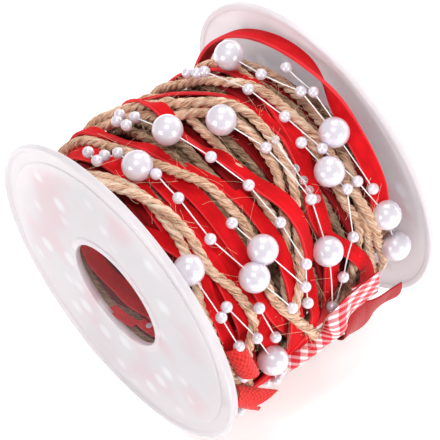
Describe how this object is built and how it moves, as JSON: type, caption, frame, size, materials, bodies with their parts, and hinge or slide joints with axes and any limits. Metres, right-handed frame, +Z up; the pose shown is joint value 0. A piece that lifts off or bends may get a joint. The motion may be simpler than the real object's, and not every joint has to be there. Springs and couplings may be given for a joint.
{
  "type": "roll of mixed christmas ribbon, twine and pearl garland on a clear plastic spool",
  "caption": "Clear flanged spool wound with red velvet ribbon, jute twine and strung pearls, with loose check and woven ribbon ends.",
  "frame": {"origin": "on the surface that the spool rests on, under the middle of the roll", "axes": "+X along the spool's axis towards the back disc, +Z up, -Y is the side where the loose ends hang"},
  "size_m": [0.0716, 0.092, 0.0915],
  "materials": {
    "frosted_plastic": "milky frosted polystyrene, smooth rim",
    "clear_plastic": "clear glossy tube",
    "wound_trimmings": "wound ribbon and twine turns",
    "red_velvet": "short velvet pile",
    "jute": "twisted jute with stray fibres",
    "pearl": "pearl lacquer with a pink and lilac cast",
    "bead_line": "thin white moulded line",
    "gingham": "red and white woven check",
    "red_ribbon": "plain red ribbon",
    "red_weave": "coarse plain weave with frayed cut edges"
  },
  "bodies": {
    "root": {"flange_front": "frosted_plastic", "flange_back": "frosted_plastic", "core_tube": "clear_plastic", "winding": "wound_trimmings", "loose_loop": "red_velvet", "gingham_ribbon": "gingham", "red_tail": "red_ribbon", "woven_end_upper": "red_weave", "woven_end_lower": "red_weave"}
  },
  "joints": []
}
